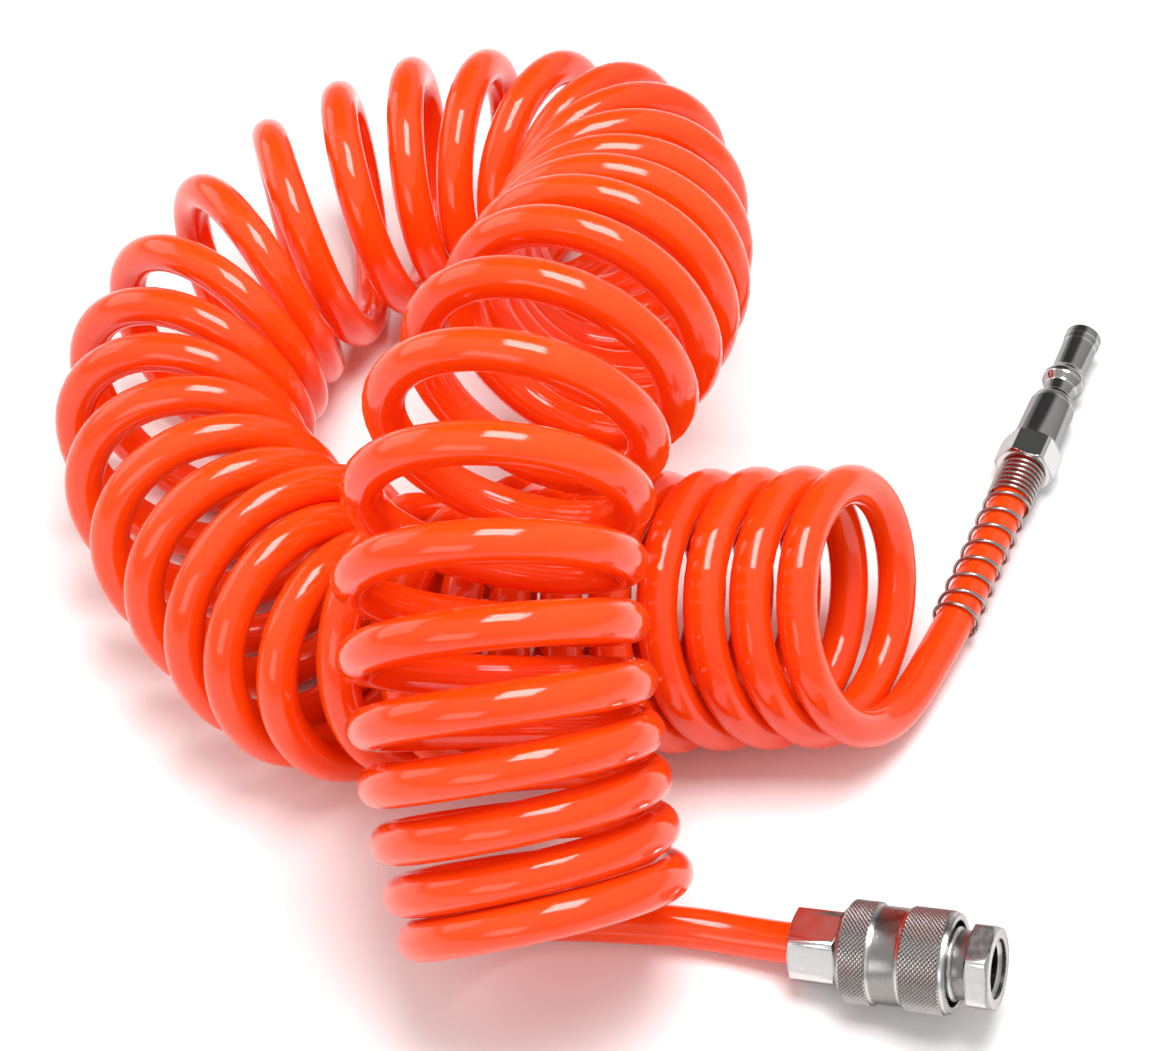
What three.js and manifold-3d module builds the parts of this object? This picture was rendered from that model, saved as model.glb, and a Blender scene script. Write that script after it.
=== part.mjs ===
// Coiled polyurethane air hose with a male quick plug and a female quick coupler.
// Millimetres, +Z up, lying on the plane z = 0.
import * as THREE from "three";
import { mergeVertices } from "three/addons/utils/BufferGeometryUtils.js";
import Module from "manifold-3d";

const wasm = await Module();
wasm.setup();

// ---- driving dimensions -------------------------------------------------
const HOSE_R = 5; // 10 mm outside diameter
const COIL_R = 30.5; // radius of a turn, at the middle of the tube
const COIL_OUTER_R = COIL_R + HOSE_R;
const JOIN_GAP = 0.3; // between pieces that touch
const ROUND = 36; // sides of a turned piece
const SMALL_ROUND = 16; // sides of a small turned piece or a hole

const NUT_AF = 17; // coupler tail nut, across flats
const NUT_LENGTH = 12;
const NUT_BORE_R = 5.35;
const FLANGE_AF = 19; // hex flange on the coupler's mouth
const SLEEVE_R = 12.3;
const SLEEVE_REAR = 13.2; // distances along the coupler from the nut's rear face
const SLEEVE_FRONT = 39.2;
const FLANGE_REAR = 43;
const FLANGE_FRONT = 49;
const SOCKET_R = 6.3; // bore that takes the mating plug
const BALL_R = 1.6;
const BALL_RING_R = 8.35; // ball centres, sleeve drawn back
const BALL_PLANE = 36;
const BALL_COUNT = 6;

const PLUG_NUT_AF = 15;
const PLUG_NUT_LENGTH = 9;
const GUARD_R = 5.85; // spring guard, middle of the wire
const GUARD_WIRE_R = 0.5;
const GUARD_TIGHT_TURNS = 7;
const GUARD_TIGHT_PITCH = 1.65;
const GUARD_OPEN_TURNS = 7;
const GUARD_OPEN_PITCH = 6.1;

// How the coupler lies, in degrees: turned from +X, and its mouth raised by the
// stiff hose, so that it rests on the rear edge of its sleeve.
const COUPLER_HEADING = 4;
const COUPLER_RISE = 15;
const RISE = THREE.MathUtils.degToRad(COUPLER_RISE);
const COUPLER_REST = SLEEVE_R * Math.cos(RISE) - SLEEVE_REAR * Math.sin(RISE);

const PLUG_TURN = THREE.MathUtils.degToRad(-1.8); // how the plug lies, turned from +Y

// Middle of each nut's rear face.
const COUPLER_AT = [90.5, -84, COUPLER_REST];
const PLUG_AT = [97.9, 80.5, 7.6];

// The coil's middle line, chosen by hand: turn number, x, y, clearance under the
// turn, and which way the turn faces: heading and lean, in degrees.
const STATIONS = [
  [0.5, 40, -114, 0, 124, 36],
  [2, 31, -105, 12, 125, 39],
  [3.5, 25, -99, 32, 122, 40],
  [5, 19, -92, 49, 117, 37],
  [7, 8, -72, 66, 108, 28],
  [9, 0, -37, 73, 94, 12],
  [11, -2, 8, 61, 86, 0],
  [14, -13, 60, 32, 108, -16],
  [17, -37, 108, 7, 154, -13],
  [20, -84, 99, 0, 197, -12],
  [22, -106, 66, 0, 213, -14],
  [24, -112, 22, 0, 252, -8],
  [26, -104, -15, 0, 277, 2],
  [29, -68, -47, 0, 314, 10],
  [32, -34, -58, 0, 342, 13],
  [35.5, 4, -35, 0, 356, 20],
  [39, 42, -15, 0, 358, 24],
  [42.5, 80, 0, 2, 354, 25],
];
const ENVELOPE_STEP = 1; // turns between sections of the coil's outer shape

// The two straight ends of the hose, from the coil to the fittings.
const COUPLER_TAIL = [
  [56.5, -89.8, 5.3],
  [67, -86.8, 5.2],
  [78.5, -85, 5.9],
  [COUPLER_AT[0] - JOIN_GAP, COUPLER_AT[1], COUPLER_AT[2]],
];
const PLUG_TAIL = [
  [96.2, 26, 7.6],
  [96.8, 45, 7.6],
  [97.4, 65, 7.6],
  [PLUG_AT[0], PLUG_AT[1] - JOIN_GAP, PLUG_AT[2]],
];

// ---- materials ----------------------------------------------------------
const hoseOrange = () => new THREE.MeshStandardMaterial({ color: 0xff4519, roughness: 0.18, metalness: 0 });
const satinSteel = () => new THREE.MeshStandardMaterial({ color: 0xb9b6b2, roughness: 0.35, metalness: 1 });
const brightNickel = () => new THREE.MeshStandardMaterial({ color: 0xc9c9c9, roughness: 0.15, metalness: 1 });
const springSteel = () => new THREE.MeshStandardMaterial({ color: 0x77716c, roughness: 0.3, metalness: 1 });
const valveBrass = () => new THREE.MeshStandardMaterial({ color: 0xb59145, roughness: 0.3, metalness: 1 });
const sealRubber = () => new THREE.MeshStandardMaterial({ color: 0x1b1b1b, roughness: 0.7, metalness: 0 });

// ---- shape helpers ------------------------------------------------------
const vectors = (points) => points.map((p) => new THREE.Vector3(...p));

// Turned piece about +Y from a closed outline of [radius, distance] points.
function turned(outline, sides = ROUND) {
  const points = outline.map(([radius, along]) => new THREE.Vector2(radius, along));
  return new THREE.LatheGeometry(points, sides);
}

// Ring of round section, such as an O-ring, about +Y.
function oRing(ringR, sectionR, along) {
  return new THREE.TorusGeometry(ringR, sectionR, 6, 24).rotateX(Math.PI / 2).translate(0, along, 0);
}

// Hexagonal prism along +Y with a round bore.
function hexNut(acrossFlats, boreR, from, to) {
  const shape = new THREE.Shape();
  const cornerR = acrossFlats / Math.sqrt(3);
  for (let i = 0; i < 6; i++) {
    const angle = (i * Math.PI) / 3;
    const x = cornerR * Math.cos(angle);
    const y = cornerR * Math.sin(angle);
    if (i === 0) shape.moveTo(x, y);
    else shape.lineTo(x, y);
  }
  shape.closePath();
  shape.holes.push(new THREE.Path().absarc(0, 0, boreR, 0, 2 * Math.PI, true));
  const settings = { depth: to - from, bevelEnabled: false, curveSegments: ROUND / 2 };
  return new THREE.ExtrudeGeometry(shape, settings).rotateX(-Math.PI / 2).translate(0, from, 0);
}

function roundSection(radius, sides) {
  const shape = new THREE.Shape();
  for (let i = 0; i < sides; i++) {
    const angle = (2 * Math.PI * i) / sides;
    const point = [radius * Math.cos(angle), radius * Math.sin(angle)];
    if (i === 0) shape.moveTo(...point);
    else shape.lineTo(...point);
  }
  shape.closePath();
  return shape;
}

// Solid rod of round section along a curve.
function rod(curve, radius, sides, steps) {
  const settings = { steps, extrudePath: curve, bevelEnabled: false };
  return new THREE.ExtrudeGeometry(roundSection(radius, sides), settings);
}

// Helical spring about +Y, whose pitch may change along it: pitches is one entry
// per stretch, [turns, pitch].
class SpringCurve extends THREE.Curve {
  constructor(ringR, from, pitches) {
    super();
    this.ringR = ringR;
    this.from = from;
    this.pitches = pitches;
    this.turns = pitches.reduce((sum, [turns]) => sum + turns, 0);
  }

  getPoint(t, target = new THREE.Vector3()) {
    const turn = t * this.turns;
    let left = turn;
    let along = this.from;
    for (const [turns, pitch] of this.pitches) {
      const used = Math.min(left, turns);
      along += used * pitch;
      left -= used;
    }
    const angle = 2 * Math.PI * turn;
    return target.set(this.ringR * Math.cos(angle), along, this.ringR * Math.sin(angle));
  }
}

function spring(ringR, wireR, from, pitches, sides = 5, stepsPerTurn = 12) {
  const curve = new SpringCurve(ringR, from, pitches);
  return rod(curve, wireR, sides, Math.round(curve.turns * stepsPerTurn));
}

// manifold-3d: a closed geometry in, a cut geometry out.
function toManifold(geometry) {
  const bare = geometry.clone();
  bare.deleteAttribute("normal");
  bare.deleteAttribute("uv");
  const merged = mergeVertices(bare, 1e-4);
  return new wasm.Manifold(
    new wasm.Mesh({
      numProp: 3,
      vertProperties: new Float32Array(merged.attributes.position.array),
      triVerts: new Uint32Array(merged.index.array),
    }),
  );
}

function fromManifold(solid) {
  const mesh = solid.getMesh();
  const geometry = new THREE.BufferGeometry();
  geometry.setAttribute("position", new THREE.BufferAttribute(mesh.vertProperties, 3));
  geometry.setIndex(new THREE.BufferAttribute(mesh.triVerts, 1));
  geometry.computeVertexNormals();
  return geometry;
}

function cut(geometry, tools) {
  let solid = toManifold(geometry);
  for (const tool of tools) solid = solid.subtract(toManifold(tool));
  return fromManifold(solid);
}

function join(geometry, added) {
  return fromManifold(toManifold(geometry).add(toManifold(added)));
}

function named(name, geometry, material) {
  const mesh = new THREE.Mesh(geometry, material);
  mesh.name = name;
  return mesh;
}

// ---- hose ---------------------------------------------------------------
// Smooth value of every station column at a turn number (cubic Hermite).
function stationAt(turn) {
  const last = STATIONS.length - 1;
  let i = 0;
  while (i < last - 1 && turn >= STATIONS[i + 1][0]) i++;
  const slope = (k, column) => {
    const before = STATIONS[Math.max(k - 1, 0)];
    const after = STATIONS[Math.min(k + 1, last)];
    return (after[column] - before[column]) / (after[0] - before[0]);
  };
  const span = STATIONS[i + 1][0] - STATIONS[i][0];
  const s = (turn - STATIONS[i][0]) / span;
  return STATIONS[i].map((value, column) => {
    const next = STATIONS[i + 1][column];
    return (
      (2 * s ** 3 - 3 * s ** 2 + 1) * value +
      (s ** 3 - 2 * s ** 2 + s) * span * slope(i, column) +
      (3 * s ** 2 - 2 * s ** 3) * next +
      (s ** 3 - s ** 2) * span * slope(i + 1, column)
    );
  });
}

// Centre of a turn, and the two directions that span its plane.
function turnPlane(turn) {
  const [, x, y, clearance, headingDegrees, leanDegrees] = stationAt(turn);
  const heading = THREE.MathUtils.degToRad(headingDegrees);
  const lean = THREE.MathUtils.degToRad(leanDegrees);
  const centre = new THREE.Vector3(x, y, clearance + COIL_R * Math.cos(lean) + HOSE_R);
  const rise = new THREE.Vector3(
    -Math.cos(heading) * Math.sin(lean),
    -Math.sin(heading) * Math.sin(lean),
    Math.cos(lean),
  );
  const side = new THREE.Vector3(Math.sin(heading), -Math.cos(heading), 0);
  return { centre, rise, side };
}

// Outer shape of the coil: one fat tube, its sections in the planes of the turns.
function coilEnvelope(radius, sides) {
  const first = STATIONS[0][0];
  const last = STATIONS[STATIONS.length - 1][0];
  const sections = Math.round((last - first) / ENVELOPE_STEP);
  const positions = [];
  const index = [];
  for (let i = 0; i <= sections; i++) {
    const { centre, rise, side } = turnPlane(first + (i * (last - first)) / sections);
    for (let k = 0; k < sides; k++) {
      const angle = (2 * Math.PI * k) / sides;
      const point = centre.clone();
      point.addScaledVector(rise, radius * Math.cos(angle));
      point.addScaledVector(side, radius * Math.sin(angle));
      positions.push(...point.toArray());
    }
  }
  for (let i = 0; i < sections; i++) {
    for (let k = 0; k < sides; k++) {
      const a = i * sides + k;
      const b = i * sides + ((k + 1) % sides);
      index.push(a, b, a + sides, b, b + sides, a + sides);
    }
  }
  const end = sections * sides;
  for (let k = 1; k < sides - 1; k++) {
    index.push(0, k + 1, k);
    index.push(end, end + k, end + k + 1);
  }
  const geometry = new THREE.BufferGeometry();
  geometry.setAttribute("position", new THREE.Float32BufferAttribute(positions, 3));
  geometry.setIndex(index);
  geometry.computeVertexNormals();
  return geometry;
}

function hoseTail(points) {
  const curve = new THREE.CatmullRomCurve3(vectors(points), false, "centripetal");
  return rod(curve, HOSE_R, 10, 6);
}

function hose() {
  const group = new THREE.Group();
  group.add(named("hose_coil", coilEnvelope(COIL_OUTER_R, 20), hoseOrange()));
  group.add(named("hose_coupler_end", hoseTail(COUPLER_TAIL), hoseOrange()));
  group.add(named("hose_plug_end", hoseTail(PLUG_TAIL), hoseOrange()));
  return group;
}

// ---- coupler, built along +Y from the nut's rear face -------------------
const BARB_R = 3.1;
const BARB_BORE_R = 2;
const BODY_R = 8.5;
const BODY_FLANGE_R = 10.4;
const BODY_FLANGE_FRONT = 15.5;
const CHAMBER_R = 5.6;
const CHAMBER_FLOOR = 15;
const SPIGOT_R = 7;
const HOLDER_R = 8.8;
const HOLDER_NECK_R = 8.1;
const SEAT_REAR = 27.6;

function couplerBody() {
  const outline = [
    [BARB_BORE_R, 2],
    [BARB_R, 2],
    [BARB_R, NUT_LENGTH + JOIN_GAP],
    [BODY_FLANGE_R, NUT_LENGTH + JOIN_GAP],
    [BODY_FLANGE_R, BODY_FLANGE_FRONT],
    [BODY_R, BODY_FLANGE_FRONT],
    [BODY_R, 22],
    [SPIGOT_R, 22],
    [SPIGOT_R, 24],
    [SPIGOT_R - 0.9, 24.1],
    [SPIGOT_R - 0.9, 25.5],
    [SPIGOT_R, 25.6],
    [SPIGOT_R, 27.2],
    [CHAMBER_R, 27.2],
    [CHAMBER_R, CHAMBER_FLOOR],
    [BARB_BORE_R, CHAMBER_FLOOR],
    [BARB_BORE_R, 2],
  ];
  return turned(outline);
}

function plugHolder() {
  const tube = turned([
    [SPIGOT_R + JOIN_GAP, 22.4],
    [HOLDER_R, 22.4],
    [HOLDER_R, 39.4],
    [HOLDER_NECK_R, 40],
    [HOLDER_NECK_R, FLANGE_REAR + 1],
    [SOCKET_R, FLANGE_REAR + 1],
    [SOCKET_R, 29.2],
    [4.2, 29.2],
    [4.2, SEAT_REAR],
    [SPIGOT_R + JOIN_GAP, SEAT_REAR],
    [SPIGOT_R + JOIN_GAP, 22.4],
  ]);
  const flange = hexNut(FLANGE_AF, SOCKET_R, FLANGE_REAR, FLANGE_FRONT);
  const mouth = turned([
    [0, FLANGE_FRONT - 2],
    [SOCKET_R - 0.1, FLANGE_FRONT - 2],
    [SOCKET_R + 0.7, FLANGE_FRONT - 1],
    [SOCKET_R + 0.7, FLANGE_FRONT + 1],
    [0, FLANGE_FRONT + 1],
  ]);
  const holes = ballAngles().map((angle) => {
    const hole = new THREE.CylinderGeometry(BALL_R + 0.15, BALL_R + 0.15, 6, SMALL_ROUND);
    return hole.rotateZ(-Math.PI / 2).translate(BALL_RING_R - 1, BALL_PLANE, 0).rotateY(angle);
  });
  return cut(join(tube, flange), [mouth, ...holes]);
}

function ballAngles() {
  return Array.from({ length: BALL_COUNT }, (_, i) => (2 * Math.PI * (i + 0.5)) / BALL_COUNT);
}

function lockBall(angle) {
  const ball = new THREE.SphereGeometry(BALL_R, 12, 8);
  return ball.translate(BALL_RING_R, BALL_PLANE, 0).rotateY(angle);
}

// Sleeve with the ball ramp inside, and a shallow groove between its two grip bands.
function couplerSleeve() {
  return turned([
    [10.8, SLEEVE_REAR],
    [SLEEVE_R - 0.5, SLEEVE_REAR],
    [SLEEVE_R, SLEEVE_REAR + 0.5],
    [SLEEVE_R, 19.5],
    [SLEEVE_R - 0.7, 21],
    [SLEEVE_R - 0.7, 27],
    [SLEEVE_R, 28.5],
    [SLEEVE_R, SLEEVE_FRONT - 0.8],
    [SLEEVE_R - 0.7, SLEEVE_FRONT],
    [10.1, SLEEVE_FRONT],
    [10.1, BALL_PLANE],
    [9, BALL_PLANE - 3.5],
    [9, 29],
    [10.8, 29],
    [10.8, SLEEVE_REAR],
  ]);
}

function valvePoppet() {
  return turned(
    [
      [0, 18.4],
      [1.4, 18.4],
      [1.4, 22],
      [5.2, 22],
      [5.2, 25.3],
      [3.3, 25.3],
      [3.3, 31.5],
      [2.6, 32.2],
      [0, 32.2],
    ],
    32,
  );
}

function coupler() {
  const group = new THREE.Group();
  group.add(named("coupler_nut", hexNut(NUT_AF, NUT_BORE_R, 0, NUT_LENGTH), satinSteel()));
  group.add(named("coupler_body", couplerBody(), satinSteel()));
  group.add(named("plug_holder", plugHolder(), satinSteel()));
  group.add(named("coupler_sleeve", couplerSleeve(), satinSteel()));
  group.add(named("sleeve_spring", spring(9.75, 0.4, 16.2, [[4.5, 2.7]]), springSteel()));
  ballAngles().forEach((angle, i) => {
    group.add(named(`lock_ball_${i + 1}`, lockBall(angle), brightNickel()));
  });
  group.add(named("valve_poppet", valvePoppet(), valveBrass()));
  group.add(named("valve_seal", oRing(4.25, 0.8, 26.4), sealRubber()));
  group.add(named("valve_spring", spring(4.3, 0.35, 15.6, [[3.5, 1.65]]), springSteel()));
  group.add(named("plug_seal", oRing(5.3, 0.75, 30.3), sealRubber()));
  group.add(named("body_seal", oRing(6.65, 0.42, 24.8), sealRubber()));
  group.position.set(...COUPLER_AT);
  const heading = THREE.MathUtils.degToRad(COUPLER_HEADING - 90);
  group.rotation.set(RISE, 0, heading, "ZYX");
  return group;
}

// ---- plug, built along +Y from the nut's rear face ----------------------
function plugBody() {
  return turned([
    [2.5, 1],
    [BARB_R, 1],
    [BARB_R, PLUG_NUT_LENGTH + JOIN_GAP],
    [6.4, PLUG_NUT_LENGTH + JOIN_GAP],
    [6.4, 25],
    [5.9, 27],
    [4.4, 29],
    [4.4, 33],
    [6, 35],
    [6, 36.6],
    [4.6, 39],
    [4.8, 50],
    [5.1, 52],
    [5.1, 54.6],
    [4.7, 55],
    [2.5, 55],
    [2.5, 1],
  ]);
}

function guardSpring() {
  const stretches = [
    [GUARD_TIGHT_TURNS, -GUARD_TIGHT_PITCH],
    [GUARD_OPEN_TURNS, -GUARD_OPEN_PITCH],
    [1, -GUARD_TIGHT_PITCH],
  ];
  return spring(GUARD_R, GUARD_WIRE_R, -GUARD_WIRE_R - JOIN_GAP, stretches);
}

function plug() {
  const group = new THREE.Group();
  group.add(named("plug_nut", hexNut(PLUG_NUT_AF, NUT_BORE_R, 0, PLUG_NUT_LENGTH), brightNickel()));
  group.add(named("plug_body", plugBody(), brightNickel()));
  group.add(named("guard_spring", guardSpring(), springSteel()));
  group.position.set(...PLUG_AT);
  group.rotation.z = PLUG_TURN;
  return group;
}

// ---- whole part ---------------------------------------------------------
const part = new THREE.Group();
part.add(hose(), coupler(), plug());

// The origin is under the middle of the part, on the plane it lies on.
part.updateMatrixWorld(true);
const box = new THREE.Box3().setFromObject(part, true);
const middle = box.getCenter(new THREE.Vector3());
part.position.set(-middle.x, -middle.y, -box.min.z);

export default part;
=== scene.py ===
"""Coiled air hose with its quick coupler and quick plug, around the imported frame."""
import math

import bmesh
import bpy
import numpy as np
from mathutils import Matrix, Vector
from mathutils.kdtree import KDTree


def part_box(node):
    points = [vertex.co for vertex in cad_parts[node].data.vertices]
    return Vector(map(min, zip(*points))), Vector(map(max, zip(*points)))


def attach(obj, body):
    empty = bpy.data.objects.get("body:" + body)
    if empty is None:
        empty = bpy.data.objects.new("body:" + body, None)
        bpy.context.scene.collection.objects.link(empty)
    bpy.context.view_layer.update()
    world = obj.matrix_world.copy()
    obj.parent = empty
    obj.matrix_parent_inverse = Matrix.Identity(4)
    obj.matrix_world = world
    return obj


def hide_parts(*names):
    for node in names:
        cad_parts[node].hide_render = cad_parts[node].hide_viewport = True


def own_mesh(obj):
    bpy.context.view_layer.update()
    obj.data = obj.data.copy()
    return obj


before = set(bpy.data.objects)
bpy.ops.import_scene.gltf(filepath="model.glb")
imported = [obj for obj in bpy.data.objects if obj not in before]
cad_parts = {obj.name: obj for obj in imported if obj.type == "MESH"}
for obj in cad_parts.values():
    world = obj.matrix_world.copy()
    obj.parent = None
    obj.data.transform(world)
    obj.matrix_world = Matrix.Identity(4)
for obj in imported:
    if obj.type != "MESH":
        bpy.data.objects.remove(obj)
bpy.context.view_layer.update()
MM = 0.001

# ---- sizes, in millimetres ------------------------------------------------
HOSE_R = 5.0
COIL_R = 30.5
JOIN_GAP = 0.3  # between pieces that touch

# The coupler. Places along it count from its nut's rear face.
NUT_LENGTH = 12.0
NUT_FLATS = 17.0
NUT_BORE_R = 5.35
BARB_R = 3.1  # inside the hose, in both fittings
BARB_BORE_R = 2.0
BODY_R = 8.5
BODY_FLANGE_R = 10.4
BODY_FLANGE_FRONT = 15.5
CHAMBER_R = 5.6  # room for the valve
CHAMBER_FLOOR = 15.0
SPIGOT_R = 7.0  # the body's front, which the plug holder is pushed over
SPIGOT_REAR = 22.0
SPIGOT_FRONT = 27.2
HOLDER_R = 8.8
HOLDER_REAR = 22.4
HOLDER_BORE_R = SPIGOT_R + JOIN_GAP
HOLDER_NECK_R = 8.1
SEAT_R = 4.2  # the hole that the valve closes
SEAT_REAR = 27.6
SEAT_FRONT = 29.2
SOCKET_R = 6.3
MOUTH_R = 7.0
FLANGE_FLATS = 19.0
FLANGE_REAR = 43.0
FLANGE_FRONT = 49.0
SLEEVE_R = 12.3
SLEEVE_BORE_R = 10.8
SLEEVE_REAR = 13.2
SLEEVE_FRONT = 39.2
LOCKING_R = 9.0  # the sleeve's inner land, which holds the balls in
LOCKING_REAR = 29.0
RELEASE_R = 10.1  # the recess in front of it, which lets them out
BALL_R = 1.6
BALL_RING_R = 8.35
BALL_PLANE = 36.0
BALL_COUNT = 6
BALL_CLEARANCE = 0.12  # between a ball and its hole
KNURL_HALF_PITCH = 0.52
KNURL_DEPTH = 0.3
HEX_FACE_CUT = 0.25  # how far a hexagon's face is turned below its flats
HEX_CORNER_CUT = 0.2
HEX_CHAMFER_SLOPE = 0.5

# The plug. Places along it count from its nut's rear face too.
PLUG_NUT_FLATS = 15.0
PLUG_NUT_LENGTH = 9.0
PLUG_LENGTH = 55.0
PLUG_BORE_R = 2.5
PLUG_BARREL_R = 6.4
PLUG_NECK_R = 4.4
PLUG_TIP_R = 5.1
LOCK_RING_R = 6.0
GUARD_R = 5.85  # guard spring, middle of the wire
GUARD_WIRE_R = 0.5
GUARD_START = -0.8
GUARD_STRETCHES = [(7, -1.65), (7, -6.1), (1, -1.65)]  # turns and pitch, from the nut

# How the two fittings lie.
PLUG_TURN = math.radians(-1.8)
COUPLER_HEADING = math.radians(4)
COUPLER_RISE = math.radians(15)
COUPLER_REST = SLEEVE_R * math.cos(COUPLER_RISE) - SLEEVE_REAR * math.sin(COUPLER_RISE)
COUPLER_AT = (90.5, -84, COUPLER_REST)
PLUG_AT = (97.9, 80.5, 7.6)

# The coil's middle line: turn number, x, y, clearance under the turn, heading, lean.
STATIONS = np.array(
    [
        (0.5, 40, -114, 0, 124, 36),
        (2, 31, -105, 12, 125, 39),
        (3.5, 25, -99, 32, 122, 40),
        (5, 19, -92, 49, 117, 37),
        (7, 8, -72, 66, 108, 28),
        (9, 0, -37, 73, 94, 12),
        (11, -2, 8, 61, 86, 0),
        (14, -13, 60, 32, 108, -16),
        (17, -37, 108, 7, 154, -13),
        (20, -84, 99, 0, 197, -12),
        (22, -106, 66, 0, 213, -14),
        (24, -112, 22, 0, 252, -8),
        (26, -104, -15, 0, 277, 2),
        (29, -68, -47, 0, 314, 10),
        (32, -34, -58, 0, 342, 13),
        (35.5, 4, -35, 0, 356, 20),
        (39, 42, -15, 0, 358, 24),
        (42.5, 80, 0, 2, 354, 25),
    ]
)
COUPLER_TAIL = [(78.5, -85, 5.9), (67, -86.8, 5.2), (56.5, -89.8, 5.3)]
PLUG_TAIL = [(96.2, 26, 7.6), (96.8, 45, 7.6), (97.4, 65, 7.6)]
POINTS_PER_TURN = 24
HOSE_IN_NUT = 10.0  # how far the hose reaches into the coupler's nut
HOSE_IN_PLUG = 6.0
HOSE_STEP = 4.0  # between the rings of the hose's mesh
HOSE_SIDES = 28
SAME_STRETCH = 60.0  # points closer than this along the hose never touch each other
HELD_END = 70.0  # how much of each end stays in its fitting and tail while the turns settle
SHARP_ANGLE = math.radians(32)  # edges that turn more than this are drawn sharp

# The row frame is the drawing's, moved so that its origin is under the part's middle.
_low, _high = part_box("plug_nut")
PLUG_ROTATION = Matrix.Rotation(PLUG_TURN, 4, "Z")
SHIFT = (_low + _high) / 2 - MM * (
    Vector(PLUG_AT) + PLUG_ROTATION @ Vector((0, PLUG_NUT_LENGTH / 2, 0))
)


def place(point):
    """A point of the drawing, in millimetres, in the row frame."""
    return Vector(point) * MM + SHIFT


COUPLER_FRAME = (
    Matrix.Translation(place(COUPLER_AT))
    @ Matrix.Rotation(COUPLER_HEADING - math.pi / 2, 4, "Z")
    @ Matrix.Rotation(COUPLER_RISE, 4, "X")
)
PLUG_FRAME = Matrix.Translation(place(PLUG_AT)) @ PLUG_ROTATION


# ---- camera ---------------------------------------------------------------
CAMERA_LENS = 90.5
CAMERA_AZIMUTH = math.radians(22)
CAMERA_ELEVATION = math.radians(50)
CAMERA_DISTANCE = 0.745
CAMERA_TARGET = (0, 0, 30)


def add_camera():
    data = bpy.data.cameras.new("Camera")
    data.sensor_width = 36
    data.lens = CAMERA_LENS
    data.clip_start = 0.01
    data.clip_end = 20
    camera = bpy.data.objects.new("Camera", data)
    bpy.context.scene.collection.objects.link(camera)
    back = Vector(
        (
            math.sin(CAMERA_AZIMUTH) * math.cos(CAMERA_ELEVATION),
            -math.cos(CAMERA_AZIMUTH) * math.cos(CAMERA_ELEVATION),
            math.sin(CAMERA_ELEVATION),
        )
    )
    camera.location = place(CAMERA_TARGET) + back * CAMERA_DISTANCE
    camera.rotation_mode = "QUATERNION"
    camera.rotation_quaternion = (-back).to_track_quat("-Z", "Y")
    bpy.context.scene.camera = camera


# ---- mesh helpers ---------------------------------------------------------
def grid_mesh(name, points, closed, edge=None, groove=None, knurled=(), uv_scale=(1, 1)):
    """A surface from rows of points; the columns always close, and the rows close
    if asked. Rows that shrink to a point make the ends. edge and groove mark, from
    0 to 1, where metal is worn bright and where it is drawn dark: in the knurl's
    valleys, and as painted shade inside bores. Faces between knurled rows are split
    along the grooves of the knurl."""
    rows, columns = points.shape[:2]
    edge = np.zeros((rows, columns)) if edge is None else edge
    groove = np.zeros((rows, columns)) if groove is None else groove
    faces, uvs = [], []
    for r in range(rows if closed else rows - 1):
        below, above = r * columns, ((r + 1) % rows) * columns
        cut = r in knurled and r + 1 in knurled
        for c in range(columns):
            d = (c + 1) % columns
            corners = [below + c, below + d, above + d, above + c]
            marks = [(c, r), (c + 1, r), (c + 1, r + 1), (c, r + 1)]
            if not cut:
                split = [(0, 1, 2, 3)]
            elif (r + c) % 2 == 0:
                split = [(0, 1, 2), (0, 2, 3)]
            else:
                split = [(0, 1, 3), (1, 2, 3)]
            for pick in split:
                faces.append([corners[k] for k in pick])
                uvs.extend(marks[k] for k in pick)
    mesh = bpy.data.meshes.new(name)
    mesh.from_pydata(points.reshape(-1, 3).tolist(), [], faces)
    layer = mesh.uv_layers.new(name="UVMap")
    flat = np.array(uvs, float) * (uv_scale[0] / columns, uv_scale[1] / rows)
    layer.data.foreach_set("uv", flat.ravel())
    for mark, values in (("edge", edge), ("groove", groove)):
        attribute = mesh.attributes.new(mark, "FLOAT", "POINT")
        attribute.data.foreach_set("value", values.ravel().astype(np.float32))
    work = bmesh.new()
    work.from_mesh(mesh)
    bmesh.ops.remove_doubles(work, verts=work.verts, dist=1e-7)
    bmesh.ops.recalc_face_normals(work, faces=work.faces)
    work.to_mesh(mesh)
    work.free()
    mesh.shade_smooth()
    mesh.set_sharp_from_angle(angle=SHARP_ANGLE)
    return mesh


def add_piece(name, mesh, material, matrix=None, body="hose", nodes=()):
    piece = bpy.data.objects.new(name, mesh)
    bpy.context.scene.collection.objects.link(piece)
    piece.matrix_world = matrix or Matrix.Identity(4)
    mesh.materials.append(material)
    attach(piece, body)
    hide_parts(*nodes)
    return piece


# KNURL marks knurled rows, whose valleys are drawn darker; PAINTED_SHADE marks rows inside a bore, which
# are painted with shade.
KNURL, PAINTED_SHADE = -1, -2
KNURL_VALLEY_DARKNESS = 0.55  # how dark the bottom of the knurl is drawn, next to 1 for the shade painted inside a bore


def soften(outline, radius=0.3, closed=True):
    """The outline with each corner rounded, as [radius, along, mark] rows; the mark
    is 1 on the rounded corners."""
    count = len(outline)
    rows = []
    for i, corner in enumerate(outline):
        here = Vector(corner)
        if not closed and i in (0, count - 1):
            rows.append((here.x, here.y, 0))
            continue
        before = Vector(outline[i - 1]) - here
        after = Vector(outline[(i + 1) % count]) - here
        reach = min(radius, 0.4 * before.length, 0.4 * after.length)
        start = here + before.normalized() * reach
        end = here + after.normalized() * reach
        middle = (start + 2 * here + end) / 4
        rows += [(start.x, start.y, 0), (middle.x, middle.y, 1), (end.x, end.y, 0)]
    return rows


def hexagon_radius(angle, flats):
    return flats / 2 / math.cos(angle % (math.pi / 3) - math.pi / 6)


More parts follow.
